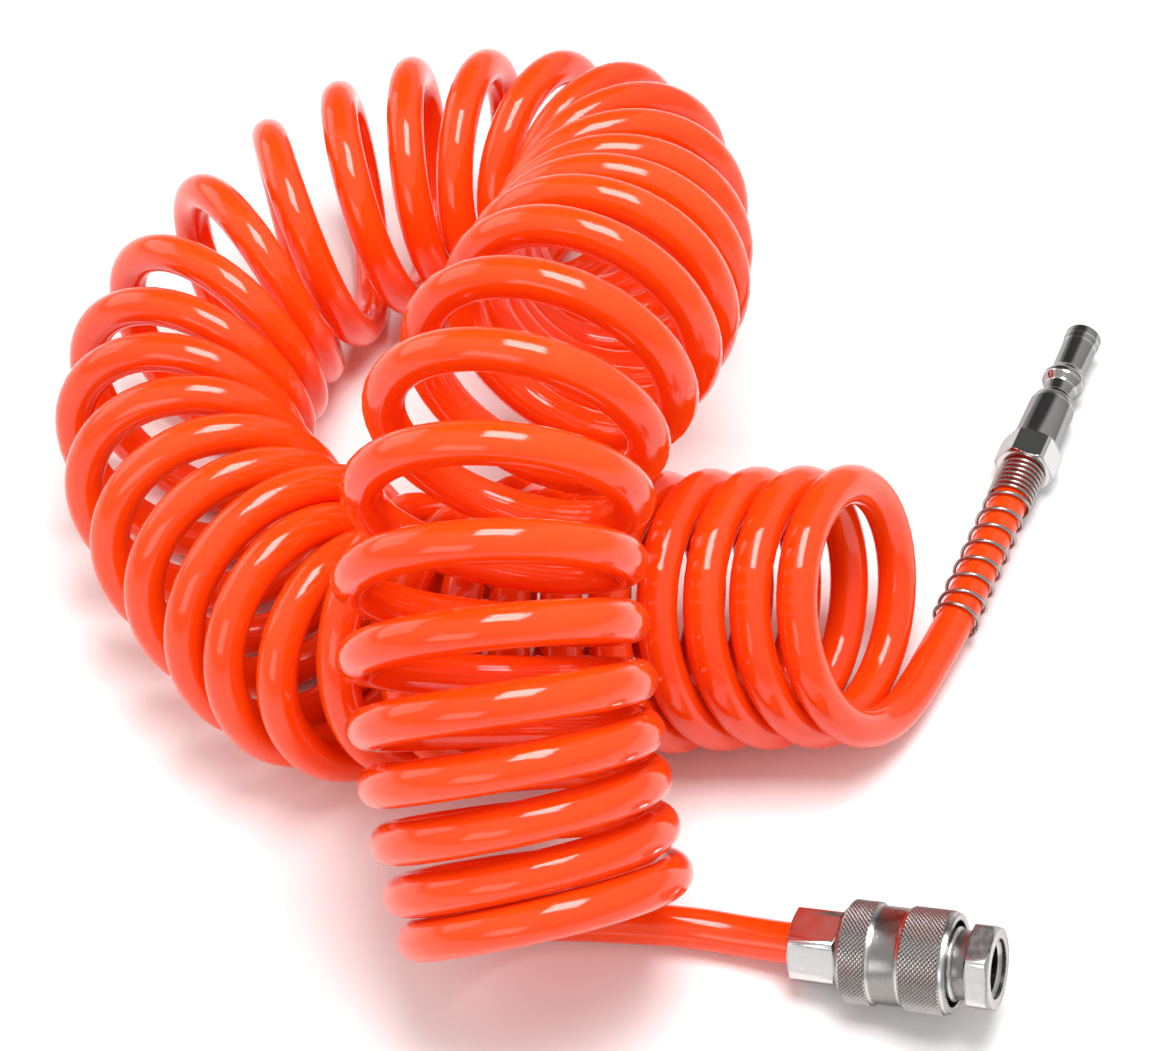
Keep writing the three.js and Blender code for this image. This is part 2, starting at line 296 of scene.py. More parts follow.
def turned(name, rows, columns=96, flats=None, closed=True, knurl=0.0):
    """A turned piece about +Y from rows of (radius, along, mark), in millimetres.
    flats cuts it to a hexagon. The mark says what the row is: KNURL, PAINTED_SHADE for the
    shade painted inside a bore, or from 0 to 1 how far its metal is worn bright."""
    points = np.zeros((len(rows), columns, 3))
    edge = np.zeros((len(rows), columns))
    groove = np.zeros((len(rows), columns))
    for r, (radius, along, mark) in enumerate(rows):
        for c in range(columns):
            angle = 2 * math.pi * c / columns
            here = radius
            valley = (r + c) % 2 == 0
            if mark == KNURL and valley:
                here -= knurl
            if flats:
                here = min(here, hexagon_radius(angle, flats))
            points[r, c] = (here * math.cos(angle), along, here * math.sin(angle))
            # Knurl peaks are worn bright and knurl valleys drawn darker; rows inside a bore get painted
            # shade.
            edge[r, c] = not valley if mark == KNURL else mark if mark != PAINTED_SHADE else 0
            groove[r, c] = KNURL_VALLEY_DARKNESS * valley if mark == KNURL else mark == PAINTED_SHADE
    knurled = {r for r, row in enumerate(rows) if row[2] == KNURL}
    return grid_mesh(name, points * MM, closed, edge, groove, knurled)


def frames_along(path):
    """Two directions across the path at each point, carried along without twist."""
    tangents = np.gradient(path, axis=0)
    tangents /= np.linalg.norm(tangents, axis=1)[:, None]
    across = np.cross(tangents[0], (0.0, 0.0, 1.0))
    normals = [across / np.linalg.norm(across)]
    for tangent in tangents[1:]:
        normal = normals[-1] - tangent * np.dot(normals[-1], tangent)
        normals.append(normal / np.linalg.norm(normal))
    normals = np.array(normals)
    return tangents, normals, np.cross(tangents, normals)


def swept(name, path, radius, sides):
    """A round rod along the path, closed at both ends."""
    tangents, normals, others = frames_along(path)
    angles = 2 * math.pi * np.arange(sides) / sides
    circle = (
        np.cos(angles)[None, :, None] * normals[:, None, :]
        + np.sin(angles)[None, :, None] * others[:, None, :]
    )
    body = path[:, None, :] + radius * circle
    first = np.repeat(path[:1, None, :], sides, axis=1)
    last = np.repeat(path[-1:, None, :], sides, axis=1)
    points = np.concatenate([first, body, last])
    length = np.linalg.norm(np.diff(path, axis=0), axis=1).sum()
    return grid_mesh(name, points, False, uv_scale=(1, length))


# ---- hose -----------------------------------------------------------------
def station_at(turn):
    """Every station column at a turn number, as a smooth cubic through the stations."""
    turns = STATIONS[:, 0]
    last = len(STATIONS) - 1
    i = int(np.clip(np.searchsorted(turns, turn, side="right") - 1, 0, last - 1))

    def slope(k):
        before, after = STATIONS[max(k - 1, 0)], STATIONS[min(k + 1, last)]
        return (after - before) / (after[0] - before[0])

    span = turns[i + 1] - turns[i]
    s = (turn - turns[i]) / span
    return (
        (2 * s**3 - 3 * s**2 + 1) * STATIONS[i]
        + (s**3 - 2 * s**2 + s) * span * slope(i)
        + (3 * s**2 - 2 * s**3) * STATIONS[i + 1]
        + (s**3 - s**2) * span * slope(i + 1)
    )


def coil_point(turn):
    _, x, y, clearance, heading, lean = station_at(turn)
    heading, lean = math.radians(heading), math.radians(lean)
    centre = Vector((x, y, clearance + COIL_R * math.cos(lean) + HOSE_R))
    rise = Vector(
        (
            -math.cos(heading) * math.sin(lean),
            -math.sin(heading) * math.sin(lean),
            math.cos(lean),
        )
    )
    side = Vector((math.sin(heading), -math.cos(heading), 0))
    angle = 2 * math.pi * turn
    return centre + COIL_R * (rise * math.cos(angle) + side * math.sin(angle))


def smooth_route(controls, step, fineness=8):
    """Points every step along a centripetal Catmull-Rom curve through the controls. The
    curve is measured at fineness points between each two controls."""
    controls = np.array([tuple(c) for c in controls])
    ends = [2 * controls[0] - controls[1]], [2 * controls[-1] - controls[-2]]
    points = np.concatenate([ends[0], controls, ends[1]])
    knots = np.concatenate(
        [[0], np.cumsum(np.linalg.norm(np.diff(points, axis=0), axis=1) ** 0.5)]
    )
    fine = []
    for i in range(1, len(points) - 2):
        for t in np.linspace(knots[i], knots[i + 1], fineness, endpoint=False):
            a = [
                points[j] + (points[j + 1] - points[j]) * (t - knots[j]) / (knots[j + 1] - knots[j])
                for j in range(i - 1, i + 2)
            ]
            b = [
                a[k] + (a[k + 1] - a[k]) * (t - knots[i - 1 + k]) / (knots[i + 1 + k] - knots[i - 1 + k])
                for k in range(2)
            ]
            fine.append(b[0] + (b[1] - b[0]) * (t - knots[i]) / (knots[i + 1] - knots[i]))
    fine = np.array(fine + [points[-2]])
    lengths = np.concatenate([[0], np.cumsum(np.linalg.norm(np.diff(fine, axis=0), axis=1))])
    wanted = np.linspace(0, lengths[-1], round(lengths[-1] / step) + 1)
    return np.stack([np.interp(wanted, lengths, fine[:, k]) for k in range(3)], axis=1)


def averaged(rows, width):
    """Each column of rows averaged along the hose, in a bell of width points."""
    weights = np.hanning(width)
    weights = weights / weights.sum()
    return np.stack([np.convolve(column, weights, "same") for column in rows.T], axis=1)


def settle(route, passes=200, push_width=21, bend_width=25, stiffness=0.05):
    """The route with its turns pushed apart wherever they would lie inside each other,
    as the real ones push when they touch. The ends stay in their fittings, and each push
    is spread along the hose, so that none of them makes a kink. The widths are points
    along the hose, and stiffness is how far each pass evens out the pushes so far."""
    contact = 2.04 * HOSE_R * MM  # a little more than touching, as the spreading gives some back
    apart = round(SAME_STRETCH / HOSE_STEP)
    held = round(HELD_END / HOSE_STEP)
    from_end = np.minimum(np.arange(len(route)), np.arange(len(route))[::-1])
    free = np.clip(from_end / held - 1, 0, 1)[:, None]
    moved = np.zeros_like(route)
    for _ in range(passes):
        now = route + moved * free
        tree = KDTree(len(now))
        for i, point in enumerate(now):
            tree.insert(point, i)
        tree.balance()
        push = np.zeros_like(now)
        for i, point in enumerate(now):
            for other, j, distance in tree.find_range(point, contact):
                if abs(i - j) > apart:
                    away = (point - np.array(other)) / distance
                    push[i] += away * (contact - distance) / 2
        moved += averaged(push, push_width)
        moved += stiffness * (averaged(moved, bend_width) - moved)
    route = route + moved * free
    route[:, 2] = np.maximum(route[:, 2], HOSE_R * MM)
    return route


def hose_route():
    """From inside the coupler's nut, round the coil, into the plug's nut."""
    in_coupler = [COUPLER_FRAME @ Vector((0, along * MM, 0)) for along in (HOSE_IN_NUT, 3, -3)]
    turns = STATIONS[-1, 0] - STATIONS[0, 0]
    samples = STATIONS[0, 0] + np.linspace(0, turns, round(turns * POINTS_PER_TURN) + 1)
    in_plug = [PLUG_FRAME @ Vector((0, along * MM, 0)) for along in (-5, 1, HOSE_IN_PLUG)]
    controls = in_coupler
    controls += [place(p) for p in COUPLER_TAIL]
    controls += [place(coil_point(turn)) for turn in samples]
    controls += [place(p) for p in PLUG_TAIL]
    controls += in_plug
    return settle(smooth_route(controls, HOSE_STEP * MM))


def add_hose(material):
    route = hose_route()
    mesh = swept("Hose", route, HOSE_R * MM, HOSE_SIDES)
    nodes = ("hose_coil", "hose_coupler_end", "hose_plug_end")
    piece = add_piece("Hose", mesh, material, nodes=nodes)
    length = float(np.linalg.norm(np.diff(route, axis=0), axis=1).sum())
    return piece, route, length


# ---- coupler --------------------------------------------------------------
def hex_end(flats, along, inward):
    """Rows of a hexagon's chamfered end, from its face back to full corners."""
    face_r, corner_r = flats / 2 - HEX_FACE_CUT, flats / math.sqrt(3) - HEX_CORNER_CUT
    depth = (corner_r - face_r) * HEX_CHAMFER_SLOPE
    steps = 7
    return [
        (
            face_r + (corner_r - face_r) * k / steps,
            along + inward * depth * k / steps,
            1 if k in (0, steps) else 0.3,
        )
        for k in range(steps + 1)
    ]


def hex_nut(name, flats, bore_r, rear, front, bevel=0.5):
    rows = hex_end(flats, rear, 1)
    rows += hex_end(flats, front, -1)[::-1]
    rows += [(bore_r + bevel, front, 1), (bore_r, front - bevel, 1)]
    rows += [(bore_r, rear + bevel, 1), (bore_r + bevel, rear, 1)]
    return turned(name, rows, columns=120, flats=flats)


def sleeve_rows():
    """Outline of the sleeve, with two knurled bands on either side of a shallow
    smooth groove, and the recess for the balls open at its front."""
    land = SLEEVE_R - 0.36
    waist = SLEEVE_R - 0.75
    end_r = SLEEVE_R - 0.85
    rows = [(SLEEVE_BORE_R, SLEEVE_REAR, 1), (end_r, SLEEVE_REAR, 1)]
    rows += [(land, SLEEVE_REAR + 0.45, 1)]
    rows += knurl_rows(SLEEVE_REAR + 0.7, 19.9)
    rows += [(land, 20.2, 0), (land - 0.04, 20.4, 1), (waist + 0.05, 21.1, 0), (waist, 21.4, 0)]
    rows += [(waist, 24, 0), (waist, 26.8, 0), (waist + 0.05, 27.1, 0)]
    rows += [(land - 0.04, 27.8, 1), (land, 28, 0)]
    rows += knurl_rows(28.3, 37.5)
    rows += [(land, 37.8, 0), (land, 38.3, 1), (SLEEVE_R - 0.7, SLEEVE_FRONT - 0.1, 0)]
    rows += [(end_r, SLEEVE_FRONT, 1), (RELEASE_R + 0.25, SLEEVE_FRONT, 1)]
    # The rows inside the sleeve are painted with shade.
    rows += [(RELEASE_R, SLEEVE_FRONT - 0.25, 0), (RELEASE_R, BALL_PLANE, PAINTED_SHADE)]
    rows += [(LOCKING_R, BALL_PLANE - 3.5, PAINTED_SHADE), (LOCKING_R, LOCKING_REAR, PAINTED_SHADE)]
    rows += [(SLEEVE_BORE_R, LOCKING_REAR, PAINTED_SHADE), (SLEEVE_BORE_R, 21, PAINTED_SHADE)]
    return rows


def knurl_rows(start, end):
    count = round((end - start) / KNURL_HALF_PITCH)
    return [(SLEEVE_R, start + (end - start) * k / count, KNURL) for k in range(count + 1)]


def holder_mesh():
    bevel = 0.2
    # The rows inside the bore are painted with shade.
    rows = [(HOLDER_BORE_R, HOLDER_REAR + bevel, PAINTED_SHADE), (HOLDER_BORE_R + bevel, HOLDER_REAR, 1)]
    rows += [(HOLDER_R - bevel, HOLDER_REAR, 1), (HOLDER_R, HOLDER_REAR + bevel, 0)]
    rows += [(HOLDER_R, 39.2, 0), (HOLDER_R - 0.1, 39.45, 1), (HOLDER_NECK_R, 40, 0)]
    rows += [(HOLDER_NECK_R, 42.6, 0), (HOLDER_NECK_R + 0.15, 42.9, 0)]
    rows += hex_end(FLANGE_FLATS, FLANGE_REAR, 1)
    rows += hex_end(FLANGE_FLATS, FLANGE_FRONT, -1)[::-1]
    rows += [(MOUTH_R + 0.15, FLANGE_FRONT, 1), (MOUTH_R, FLANGE_FRONT - 0.15, 0)]
    rows += [(MOUTH_R, FLANGE_FRONT - 1, 0), (SOCKET_R, FLANGE_FRONT - 1.9, 1)]
    # The socket and the seat's hole are painted with shade.
    rows += [(SOCKET_R, FLANGE_FRONT - 2.2, PAINTED_SHADE), (SOCKET_R, SEAT_FRONT, PAINTED_SHADE)]
    rows += [(SEAT_R + 0.1, SEAT_FRONT, PAINTED_SHADE), (SEAT_R, SEAT_FRONT - 0.1, PAINTED_SHADE)]
    rows += [(SEAT_R, SEAT_REAR, PAINTED_SHADE), (HOLDER_BORE_R, SEAT_REAR, PAINTED_SHADE)]
    return turned("PlugHolder", rows, columns=120, flats=FLANGE_FLATS)


def drill_ball_holes(piece):
    """The six holes that the lock balls move in."""
    depth = 6
    middle_r = BALL_RING_R - 1
    holes = bmesh.new()
    for angle in ball_angles():
        middle = Matrix.Rotation(angle, 4, "Y") @ Matrix.Translation(
            (middle_r * MM, BALL_PLANE * MM, 0)
        )
        bmesh.ops.create_cone(
            holes,
            cap_ends=True,
            segments=32,
            radius1=(BALL_R + BALL_CLEARANCE) * MM,
            radius2=(BALL_R + BALL_CLEARANCE) * MM,
            depth=depth * MM,
            matrix=middle @ Matrix.Rotation(math.pi / 2, 4, "Y"),
        )
    mesh = bpy.data.meshes.new("BallHoles")
    holes.to_mesh(mesh)
    holes.free()
    tool = bpy.data.objects.new("BallHoles", mesh)
    bpy.context.scene.collection.objects.link(tool)
    tool.matrix_world = piece.matrix_world
    cut = piece.modifiers.new("BallHoles", "BOOLEAN")
    cut.operation = "DIFFERENCE"
    cut.solver = "EXACT"
    cut.object = tool
    bpy.context.view_layer.update()
    evaluated = piece.evaluated_get(bpy.context.evaluated_depsgraph_get())
    done = bpy.data.meshes.new_from_object(evaluated)
    piece.modifiers.clear()
    piece.data = done
    done.set_sharp_from_angle(angle=SHARP_ANGLE)
    bpy.data.objects.remove(tool)


def ball_angles():
    return [2 * math.pi * (i + 0.5) / BALL_COUNT for i in range(BALL_COUNT)]


def spring_mesh(name, ring_r, wire_r, start, stretches, sides=12, per_turn=32):
    """A wound spring about +Y; each stretch is (turns, pitch), in millimetres."""
    knots = np.cumsum([0] + [turns for turns, _ in stretches])
    heights = np.cumsum([start] + [turns * pitch for turns, pitch in stretches])
    turns = np.linspace(0, knots[-1], round(knots[-1] * per_turn) + 1)
    along = np.interp(turns, knots, heights)
    angles = 2 * math.pi * turns
    path = np.stack([ring_r * np.cos(angles), along, ring_r * np.sin(angles)], axis=1)
    return swept(name, path * MM, wire_r * MM, sides)


def ring_mesh(name, ring_r, section_r, along):
    steps = 20
    rows = []
    for k in range(steps):
        angle = 2 * math.pi * k / steps
        rows.append((ring_r + section_r * math.cos(angle), along + section_r * math.sin(angle), 0))
    return turned(name, rows, columns=72)


def ball_mesh(name):
    steps = 24
    rows = []
    for k in range(steps + 1):
        angle = math.pi * k / steps
        rows.append((BALL_R * math.sin(angle), -BALL_R * math.cos(angle), 0))
    return turned(name, rows, columns=48, closed=False)


def body_rows():
    """Outline of the coupler's body: barb, flange, and spigot with the seal's groove."""
    barb_end = 2
    flange_rear = NUT_LENGTH + JOIN_GAP
    groove_r = SPIGOT_R - 0.9
    outline = [
        (BARB_BORE_R, barb_end),
        (BARB_R, barb_end),
        (BARB_R, flange_rear),
        (BODY_FLANGE_R, flange_rear),
        (BODY_FLANGE_R, BODY_FLANGE_FRONT),
        (BODY_R, BODY_FLANGE_FRONT),
        (BODY_R, SPIGOT_REAR),
        (SPIGOT_R, SPIGOT_REAR),
        (SPIGOT_R, 24),
        (groove_r, 24.1),
        (groove_r, 25.5),
        (SPIGOT_R, 25.6),
        (SPIGOT_R, SPIGOT_FRONT),
        (CHAMBER_R, SPIGOT_FRONT),
        (CHAMBER_R, CHAMBER_FLOOR),
        (BARB_BORE_R, CHAMBER_FLOOR),
    ]
    return soften(outline, radius=0.15)


def poppet_rows():
    """Outline of the valve's poppet: tail, the disc that carries the seal, and nose."""
    tail_r, disc_r, nose_r = 1.4, 5.2, 3.3
    outline = [
        (0, 18.4),
        (tail_r, 18.4),
        (tail_r, 22),
        (disc_r, 22),
        (disc_r, 25.3),
        (nose_r, 25.3),
        (nose_r, 31.5),
        (2.6, 32.2),
        (0, 32.2),
    ]
    return soften(outline, radius=0.2, closed=False)


def add_coupler(finish):
    def part(name, mesh, look, slot, node, body="hose"):
        return add_piece(name, mesh, look, COUPLER_FRAME, body, (node,))

    nut = hex_nut("CouplerNut", NUT_FLATS, NUT_BORE_R, 0, NUT_LENGTH)
    part("CouplerNut", nut, finish["drawn_steel"], "satin_steel", "coupler_nut")
    body = turned("CouplerBody", body_rows())
    part("CouplerBody", body, finish["turned_steel"], "satin_steel", "coupler_body")
    holder = part("PlugHolder", holder_mesh(), finish["turned_steel"], "satin_steel", "plug_holder")
    drill_ball_holes(holder)
    sleeve = turned("CouplerSleeve", sleeve_rows(), columns=128, knurl=KNURL_DEPTH)
    part("CouplerSleeve", sleeve, finish["turned_steel"], "satin_steel", "coupler_sleeve", "sleeve")
    for i, angle in enumerate(ball_angles(), 1):
        spot = Matrix.Rotation(angle, 4, "Y") @ Matrix.Translation(
            (BALL_RING_R * MM, BALL_PLANE * MM, 0)
        )
        name = f"LockBall{i}"
        add_piece(
            name, ball_mesh(name), finish["nickel"],
            COUPLER_FRAME @ spot, f"ball_{i}", (f"lock_ball_{i}",),
        )
    poppet = turned("ValvePoppet", poppet_rows(), columns=72, closed=False)
    part("ValvePoppet", poppet, finish["brass"], "valve_brass", "valve_poppet", "valve")
    rings = [
        ("ValveSeal", 4.25, 0.8, 26.4, "valve_seal", "valve"),
        ("PlugSeal", 5.3, 0.75, 30.3, "plug_seal", "hose"),
        ("BodySeal", 6.65, 0.42, 24.8, "body_seal", "hose"),
    ]
    for name, ring_r, section_r, along, node, ridden in rings:
        mesh = ring_mesh(name, ring_r, section_r, along)
        part(name, mesh, finish["rubber"], "seal_rubber", node, ridden)
    add_sleeve_spring(part, finish)
    add_valve_spring(part, finish)


def add_sleeve_spring(part, finish):
    mesh = spring_mesh("SleeveSpring", ring_r=9.75, wire_r=0.4, start=16.2, stretches=[(4.5, 2.7)])
    part("SleeveSpring", mesh, finish["wire"], "spring_steel", "sleeve_spring")


def add_valve_spring(part, finish):
    mesh = spring_mesh("ValveSpring", ring_r=4.3, wire_r=0.35, start=15.6, stretches=[(3.5, 1.65)])
    piece = part("ValveSpring", mesh, finish["wire"], "spring_steel", "valve_spring")
    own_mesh(piece)


# ---- plug -----------------------------------------------------------------
def plug_rows():
    """Outline of the plug's body: barb, barrel, neck, lock ring and tip."""
    barb_end = 1
    barrel_rear = PLUG_NUT_LENGTH + JOIN_GAP
    outline = [
        (PLUG_BORE_R, barb_end),
        (BARB_R, barb_end),
        (BARB_R, barrel_rear),
        (PLUG_BARREL_R, barrel_rear),
        (PLUG_BARREL_R, 25),
        (PLUG_BARREL_R - 0.5, 27),
        (PLUG_NECK_R, 29),
        (PLUG_NECK_R, 33),
        (LOCK_RING_R, 35),
        (LOCK_RING_R, 36.6),
        (PLUG_TIP_R - 0.5, 39),
        (PLUG_TIP_R - 0.3, 50),
        (PLUG_TIP_R, 52),
        (PLUG_TIP_R, PLUG_LENGTH - 0.4),
        (PLUG_TIP_R - 0.4, PLUG_LENGTH),
        (PLUG_BORE_R, PLUG_LENGTH),
    ]
    return soften(outline, radius=0.5)


def add_plug(finish):
    def part(name, mesh, look, slot, node):
        return add_piece(name, mesh, look, PLUG_FRAME, "hose", (node,))

    nut = hex_nut("PlugNut", PLUG_NUT_FLATS, NUT_BORE_R, 0, PLUG_NUT_LENGTH)
    body = turned("PlugBody", plug_rows(), columns=112)
    guard = spring_mesh(
        "GuardSpring", GUARD_R, GUARD_WIRE_R, GUARD_START, GUARD_STRETCHES, per_turn=40
    )
    return [
        part("PlugNut", nut, finish["nickel"], "bright_nickel", "plug_nut"),
        part("PlugBody", body, finish["nickel"], "bright_nickel", "plug_body"),
        part("GuardSpring", guard, finish["wire"], "spring_steel", "guard_spring"),
    ]


# ---- materials ------------------------------------------------------------
class Nodes:
    """A material's node tree, with short calls to add and join nodes."""

    def __init__(self, name):
        self.material = bpy.data.materials.new(name)
        self.material.use_nodes = True
        self.tree = self.material.node_tree
        self.tree.nodes.clear()
        self.shader = self.add("ShaderNodeBsdfPrincipled")
        output = self.add("ShaderNodeOutputMaterial")
        self.join(self.shader, "BSDF", output, "Surface")

    def add(self, kind, **settings):
        node = self.tree.nodes.new(kind)
        for key, value in settings.items():
            setattr(node, key, value)
        return node

    def join(self, source, output, target, socket):
        self.tree.links.new(source.outputs[output], target.inputs[socket])

    def coordinates(self, output, scale):
        source = self.add("ShaderNodeTexCoord")
        mapping = self.add("ShaderNodeMapping")
        mapping.inputs["Scale"].default_value = scale
        self.join(source, output, mapping, "Vector")
        return mapping

    def noise(self, mapping, scale, detail=3.0, roughness=0.5):
        noise = self.add("ShaderNodeTexNoise")
        noise.inputs["Scale"].default_value = scale
        noise.inputs["Detail"].default_value = detail
        noise.inputs["Roughness"].default_value = roughness
        self.join(mapping, "Vector", noise, "Vector")
        return noise

    def spread(self, source, output, low, high, start=0.3, end=0.7):
        """The source's values from start to end, spread from low to high."""
        node = self.add("ShaderNodeMapRange")
        for socket, value in (("From Min", start), ("From Max", end), ("To Min", low), ("To Max", high)):
            node.inputs[socket].default_value = value
        self.join(source, output, node, "Value")
        return node

    def mix(self, factor, output, low, high):
        """A colour between low and high; either may be a node that gives a colour."""
        node = self.add("ShaderNodeMix", data_type="RGBA")
        self.join(factor, output, node, 0)
        for socket, value in ((6, low), (7, high)):
            if isinstance(value, tuple):
                node.inputs[socket].default_value = (*value, 1)
            else:
                self.tree.links.new(value.outputs[2], node.inputs[socket])
        return node

    def bump(self, layers):
        """Bump from layers of (node, output, strength, distance)."""
        last = None
        for source, output, strength, distance in layers:
            node = self.add("ShaderNodeBump")
            node.inputs["Strength"].default_value = strength
            node.inputs["Distance"].default_value = distance
            self.join(source, output, node, "Height")
            if last:
                self.join(last, "Normal", node, "Normal")
            last = node
        self.join(last, "Normal", self.shader, "Normal")

    def constant(self, **values):
        for socket, value in values.items():
            self.shader.inputs[socket.replace("_", " ")].default_value = value

    def attribute(self, name):
        return self.add("ShaderNodeAttribute", attribute_name=name)


def hose_material():
    """Glossy polyurethane: clouded colour, faint extrusion lines, light scuffs."""
    m = Nodes("HosePolyurethane")
    object_space = m.coordinates("Object", (1, 1, 1))
    along = m.coordinates("UV", (60, 1.5, 1))
    clouds = m.noise(object_space, 14, 2)
    bright, deep = (1.0, 0.075, 0.004), (0.96, 0.055, 0.002)
    base = m.mix(m.spread(clouds, "Fac", 0, 1), "Result", bright, deep)
    m.tree.links.new(base.outputs[2], m.shader.inputs["Base Color"])
    scuffs = m.noise(object_space, 260, 6, 0.65)
    m.join(m.spread(scuffs, "Fac", 0.04, 0.13, 0.5, 0.8), "Result", m.shader, "Roughness")
    lines = m.noise(along, 1, 4, 0.6)
    ripple = m.noise(object_space, 90, 2)
    m.bump([(ripple, "Fac", 0.22, 0.0004), (lines, "Fac", 0.25, 0.00012), (scuffs, "Fac", 0.1, 0.00004)])
    m.constant(IOR=1.47, Subsurface_Weight=0.35, Subsurface_Scale=0.004)
    m.constant(Subsurface_Radius=(1.0, 0.22, 0.08), Coat_Weight=0.1, Coat_Roughness=0.03)
    return m.material


def metal_material(name, colour, worn, valley_dark_and_painted_shade, roughness, grain, grain_scale, depth):
    """Plated or bare metal. grain stretches the machining lines; worn brightens the
    edges, and the dark colour darkens the knurl's valleys and is painted as shade
    inside bores."""
    m = Nodes(name)
    object_space = m.coordinates("Object", (1, 1, 1))
    stretched = m.coordinates("Object", grain)
    clouds = m.noise(object_space, 120, 4)
    lines = m.noise(stretched, grain_scale, 3, 0.6)
    dull = tuple(0.92 * c for c in colour)
    base = m.mix(m.spread(clouds, "Fac", 0, 1), "Result", colour, dull)
    edges = m.mix(m.attribute("edge"), "Fac", base, worn)
    # Darker in the knurl's valleys, and painted shade inside bores.
    grooves = m.mix(m.spread(m.attribute("groove"), "Fac", 0, 0.7, 0, 1), "Result", edges, valley_dark_and_painted_shade)
    m.tree.links.new(grooves.outputs[2], m.shader.inputs["Base Color"])
    smears = m.noise(object_space, 500, 5, 0.6)
    low, high = roughness
    m.join(m.spread(smears, "Fac", low, high), "Result", m.shader, "Roughness")
    m.bump([(lines, "Fac", 0.5, depth), (smears, "Fac", 0.08, 0.00002)])
    m.constant(Metallic=1.0, Specular_Tint=(0.6, 0.6, 0.6, 1))
    return m.material


def rubber_material():
    m = Nodes("SealRubber")
    object_space = m.coordinates("Object", (1, 1, 1))
    grain = m.noise(object_space, 900, 4)
    base = m.mix(m.spread(grain, "Fac", 0, 1), "Result", (0.012, 0.012, 0.013), (0.03, 0.03, 0.03))
    m.tree.links.new(base.outputs[2], m.shader.inputs["Base Color"])
    m.join(m.spread(grain, "Fac", 0.45, 0.7), "Result", m.shader, "Roughness")
    m.bump([(grain, "Fac", 0.2, 0.00005)])
    return m.material


def floor_material():
    m = Nodes("Floor")
    paper = m.noise(m.coordinates("Object", (1, 1, 1)), 40, 4)
    base = m.mix(m.spread(paper, "Fac", 0, 1), "Result", (0.97, 0.97, 0.97), (0.95, 0.95, 0.95))
    m.tree.links.new(base.outputs[2], m.shader.inputs["Base Color"])
    m.constant(Roughness=0.9)
    return m.material


def finishes():
    """Every finish of the fittings. Plain, turned and drawn metal differ in the way that
    their machining lines are stretched."""
    plain, turned_lines, drawn_lines = (1, 1, 1), (0.15, 4, 0.15), (3, 0.1, 3)
    bright = (0.7, 0.69, 0.68)
    # The last colour of each finish darkens the knurl's valleys and is painted as shade inside bores.
    return {
        "turned_steel": metal_material(
            "TurnedSteel",
            colour=(0.32, 0.31, 0.3),
            worn=bright,
            valley_dark_and_painted_shade=(0.11, 0.1, 0.09),
            roughness=(0.21, 0.31),
            grain=turned_lines,
            grain_scale=1800,
            depth=0.00003,
        ),
        "drawn_steel": metal_material(
            "DrawnSteel",
            colour=(0.52, 0.505, 0.5),
            worn=bright,
            valley_dark_and_painted_shade=(0.13, 0.12, 0.11),
            roughness=(0.14, 0.26),
            grain=drawn_lines,
            grain_scale=900,
            depth=0.00002,
        ),
        "nickel": metal_material(
            "BrightNickel",
            colour=(0.4, 0.39, 0.38),
            worn=bright,
            valley_dark_and_painted_shade=(0.2, 0.19, 0.18),
            roughness=(0.07, 0.16),
            grain=turned_lines,
            grain_scale=900,
            depth=0.00001,
        ),
        "wire": metal_material(
            "SpringWire",
            colour=(0.42, 0.4, 0.38),
            worn=(0.5, 0.48, 0.46),
            valley_dark_and_painted_shade=(0.1, 0.1, 0.1),
            roughness=(0.16, 0.32),
            grain=plain,
            grain_scale=700,
            depth=0.00002,
        ),
        "brass": metal_material(
            "ValveBrass",
            colour=(0.66, 0.46, 0.19),
            worn=(0.8, 0.62, 0.32),
            valley_dark_and_painted_shade=(0.2, 0.13, 0.05),
            roughness=(0.18, 0.34),
            grain=turned_lines,
            grain_scale=1500,
            depth=0.00002,
        ),
        "rubber": rubber_material(),
    }


# ---- floor and light --------------------------------------------------------
def add_floor():
    mesh = bpy.data.meshes.new("Floor")
    half = 6  # metres
    mesh.from_pydata(
        [(-half, -half, 0), (half, -half, 0), (half, half, 0), (-half, half, 0)], [], [(0, 1, 2, 3)]
    )
    mesh.materials.append(floor_material())
    floor = bpy.data.objects.new("Floor", mesh)
    bpy.context.scene.collection.objects.link(floor)


LIGHT_AIM = (0, 0, 0.03)
DARK_PATCH = (-0.4, 0.61, 0.68)  # the direction of the dark patch of ceiling


def add_softbox(name, location, size, watts):
    light = bpy.data.lights.new(name, "AREA")
    light.shape = "RECTANGLE"
    light.size, light.size_y = size
    light.energy = watts
    lamp = bpy.data.objects.new(name, light)
    bpy.context.scene.collection.objects.link(lamp)
    lamp.location = location
    aim = Vector(LIGHT_AIM) - Vector(location)
    lamp.rotation_mode = "QUATERNION"
    lamp.rotation_quaternion = aim.to_track_quat("-Z", "Y")


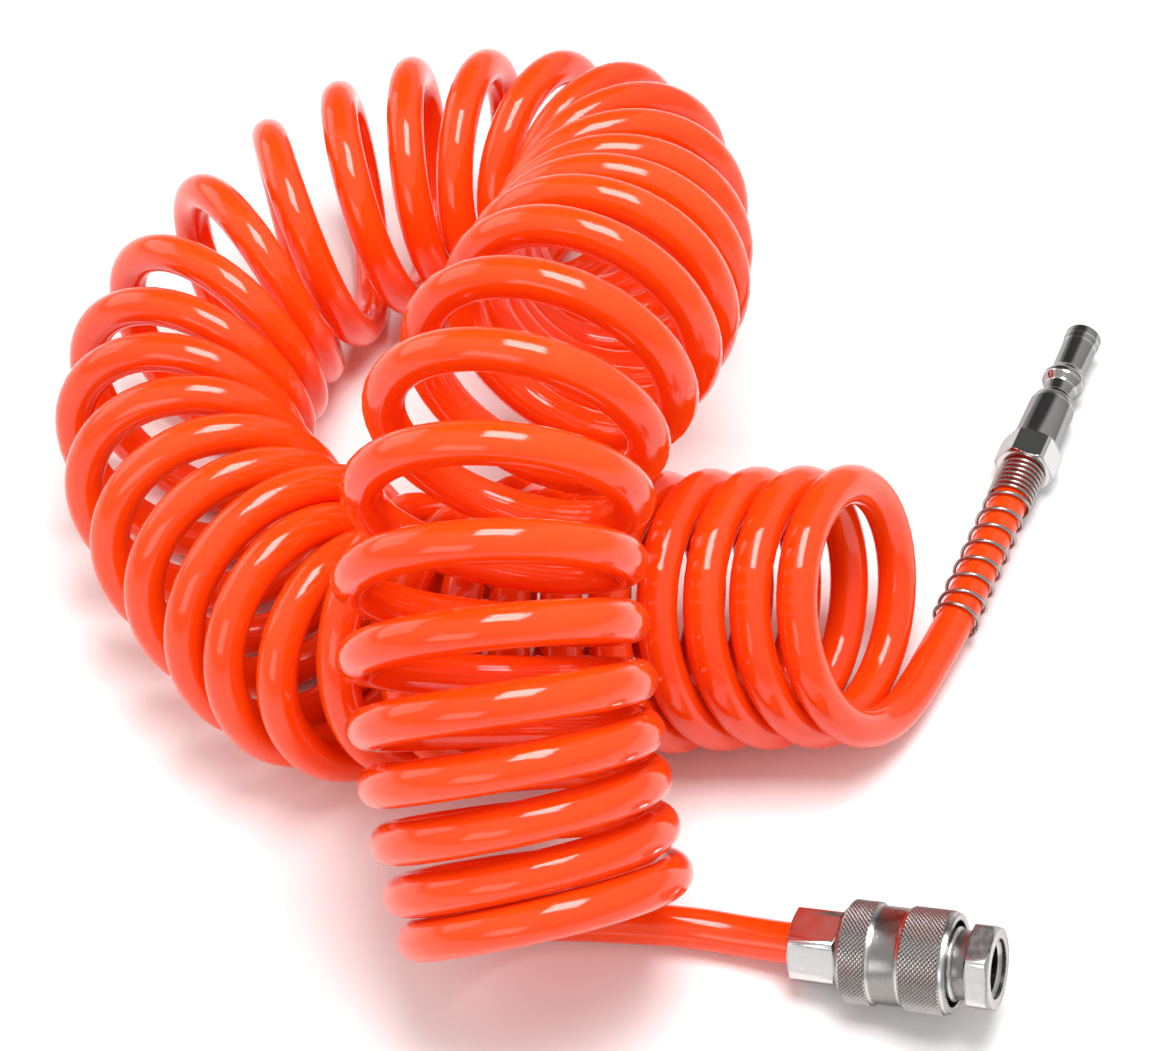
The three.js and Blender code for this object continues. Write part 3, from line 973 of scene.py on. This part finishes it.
def add_world():
    """Even studio surroundings, brighter overhead than at the horizon, with a dark
    patch of ceiling that gives the metal its dark reflections."""
    world = bpy.data.worlds.new("Studio")
    bpy.context.scene.world = world
    world.use_nodes = True
    tree = world.node_tree
    tree.nodes.clear()
    output = tree.nodes.new("ShaderNodeOutputWorld")
    background = tree.nodes.new("ShaderNodeBackground")
    ramp = tree.nodes.new("ShaderNodeValToRGB")
    split = tree.nodes.new("ShaderNodeSeparateXYZ")
    patch = tree.nodes.new("ShaderNodeVectorMath")
    shade = tree.nodes.new("ShaderNodeMapRange")
    source = tree.nodes.new("ShaderNodeTexCoord")
    patch.operation = "DOT_PRODUCT"
    patch.inputs[1].default_value = DARK_PATCH
    for socket, value in (("From Min", 0.8), ("From Max", 0.93), ("To Min", 0.85), ("To Max", 0.12)):
        shade.inputs[socket].default_value = value
    tree.links.new(source.outputs["Generated"], split.inputs["Vector"])
    tree.links.new(source.outputs["Generated"], patch.inputs[0])
    tree.links.new(patch.outputs["Value"], shade.inputs["Value"])
    tree.links.new(split.outputs["Z"], ramp.inputs["Fac"])
    tree.links.new(ramp.outputs["Color"], background.inputs["Color"])
    tree.links.new(shade.outputs["Result"], background.inputs["Strength"])
    tree.links.new(background.outputs["Background"], output.inputs["Surface"])
    ramp.color_ramp.elements[0].position = 0.0
    ramp.color_ramp.elements[0].color = (0.55, 0.55, 0.55, 1)
    ramp.color_ramp.elements[1].position = 0.9
    ramp.color_ramp.elements[1].color = (0.85, 0.85, 0.85, 1)


def add_lights():
    add_world()
    add_softbox("KeyLight", (0.08, 0.02, 0.95), size=(0.5, 0.42), watts=8)
    add_softbox("FrontLight", (-0.1, -1.4, 0.6), size=(0.8, 0.6), watts=3)
    add_softbox("LeftLight", (-1.4, 0.1, 0.6), size=(1.3, 0.8), watts=4.5)


# ---- the scene ------------------------------------------------------------
def main():
    add_camera()
    hose, route, length = add_hose(hose_material())
    looks = finishes()
    plug_pieces = add_plug(looks)
    add_coupler(looks)
    add_floor()
    add_lights()
    bpy.context.scene.view_settings.view_transform = "Standard"


main()
